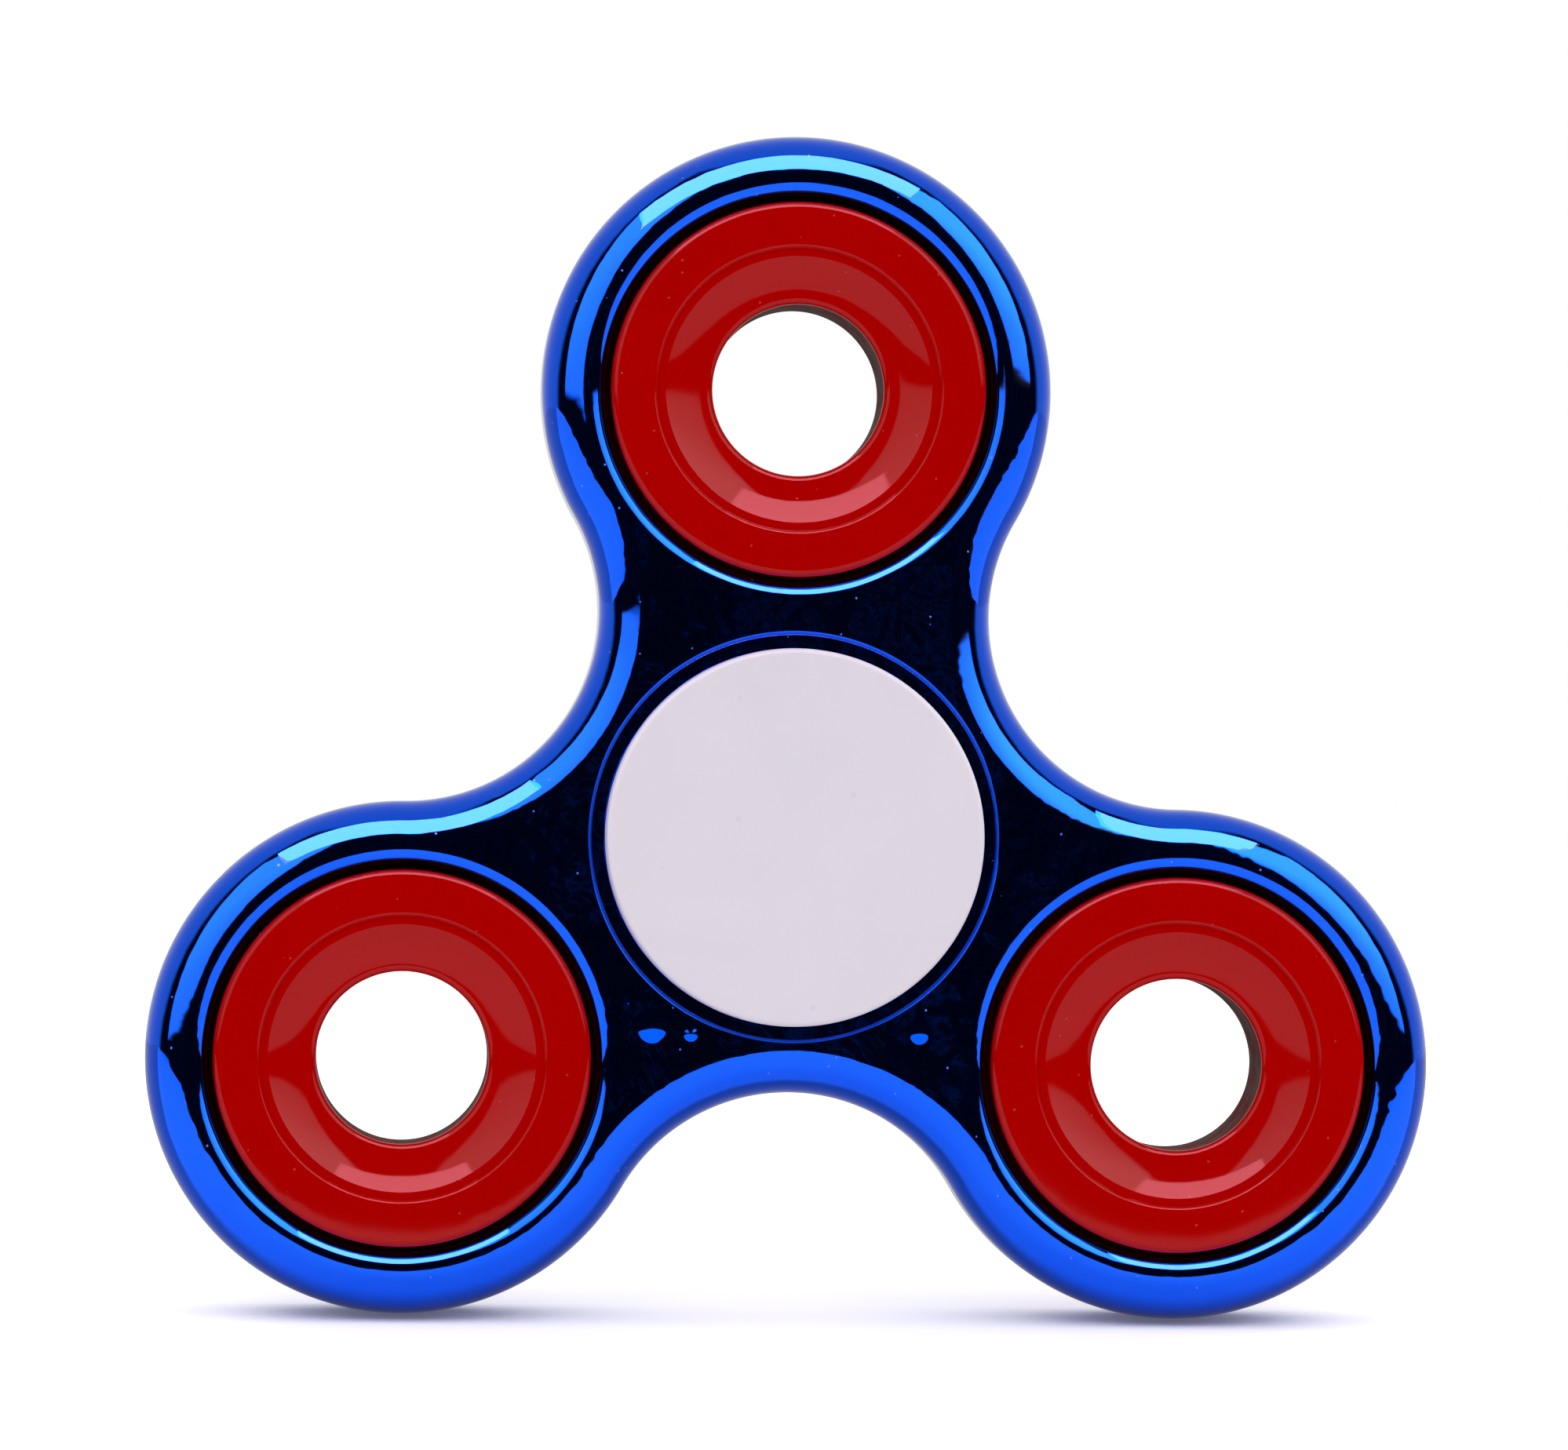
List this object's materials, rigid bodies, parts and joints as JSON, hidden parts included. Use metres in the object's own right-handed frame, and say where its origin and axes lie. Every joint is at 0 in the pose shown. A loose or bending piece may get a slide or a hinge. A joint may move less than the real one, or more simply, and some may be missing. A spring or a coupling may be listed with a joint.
{
  "type": "fidget spinner",
  "caption": "Lobed hand spinner that turns on a ball bearing held by finger caps, with a round weight ring pressed into each lobe.",
  "frame": {"origin": "centre of the bearing, on the spin axis at the middle of the thickness", "axes": "+Y along the spin axis from the front face to the back face, +Z towards the top lobe, +X towards the right lobe seen from the front"},
  "size_m": [0.0754, 0.012, 0.0693],
  "materials": {
    "body_plating": "mirror blue electroplating over moulded plastic",
    "weight_paint": "gloss red paint",
    "cap_plastic": "satin off-white moulded plastic",
    "race_steel": "ground and polished bearing steel",
    "ball_steel": "polished bearing steel",
    "cage_steel": "pressed sheet steel",
    "shield_steel": "pressed sheet steel",
    "ring_steel": "spring steel wire"
  },
  "bodies": {
    "hub": {"front_cap": "cap_plastic", "back_cap": "cap_plastic", "bearing_inner_race": "race_steel"},
    "rotor": {"body": "body_plating", "weight_ring_top": "weight_paint", "weight_ring_left": "weight_paint", "weight_ring_right": "weight_paint", "bearing_outer_race": "race_steel", "shield_front": "shield_steel", "shield_back": "shield_steel", "snap_ring_front": "ring_steel", "snap_ring_back": "ring_steel"},
    "cage": {"cage_half_front": "cage_steel", "cage_half_back": "cage_steel", "cage_rivets": "cage_steel"},
    "ball_1": {"ball_1": "ball_steel"},
    "ball_2": {"ball_2": "ball_steel"},
    "ball_3": {"ball_3": "ball_steel"},
    "ball_4": {"ball_4": "ball_steel"},
    "ball_5": {"ball_5": "ball_steel"},
    "ball_6": {"ball_6": "ball_steel"},
    "ball_7": {"ball_7": "ball_steel"}
  },
  "joints": [
    {"name": "rotor_spin", "type": "hinge", "parent": "hub", "child": "rotor", "pos_m": [0, 0, 0], "axis": [0, 1, 0], "continuous": true},
    {"name": "cage_orbit", "type": "hinge", "parent": "hub", "child": "cage", "pos_m": [0, 0, 0], "axis": [0, 1, 0], "continuous": true},
    {"name": "ball_1_roll", "type": "hinge", "parent": "cage", "child": "ball_1", "pos_m": [0, 0, 0.0075], "axis": [0, 1, 0], "continuous": true},
    {"name": "ball_2_roll", "type": "hinge", "parent": "cage", "child": "ball_2", "pos_m": [-0.00586, 0, 0.00468], "axis": [0, 1, 0], "continuous": true},
    {"name": "ball_3_roll", "type": "hinge", "parent": "cage", "child": "ball_3", "pos_m": [-0.00731, 0, -0.00167], "axis": [0, 1, 0], "continuous": true},
    {"name": "ball_4_roll", "type": "hinge", "parent": "cage", "child": "ball_4", "pos_m": [-0.00325, 0, -0.00676], "axis": [0, 1, 0], "continuous": true},
    {"name": "ball_5_roll", "type": "hinge", "parent": "cage", "child": "ball_5", "pos_m": [0.00325, 0, -0.00676], "axis": [0, 1, 0], "continuous": true},
    {"name": "ball_6_roll", "type": "hinge", "parent": "cage", "child": "ball_6", "pos_m": [0.00731, 0, -0.00167], "axis": [0, 1, 0], "continuous": true},
    {"name": "ball_7_roll", "type": "hinge", "parent": "cage", "child": "ball_7", "pos_m": [0.00586, 0, 0.00468], "axis": [0, 1, 0], "continuous": true}
  ],
  "couplings": [
    {"joint": "cage_orbit", "follows": "rotor_spin", "ratio": 0.6323},
    {"joint": "ball_1_roll", "follows": "rotor_spin", "ratio": 1.7573},
    {"joint": "ball_2_roll", "follows": "rotor_spin", "ratio": 1.7573},
    {"joint": "ball_3_roll", "follows": "rotor_spin", "ratio": 1.7573},
    {"joint": "ball_4_roll", "follows": "rotor_spin", "ratio": 1.7573},
    {"joint": "ball_5_roll", "follows": "rotor_spin", "ratio": 1.7573},
    {"joint": "ball_6_roll", "follows": "rotor_spin", "ratio": 1.7573},
    {"joint": "ball_7_roll", "follows": "rotor_spin", "ratio": 1.7573}
  ]
}
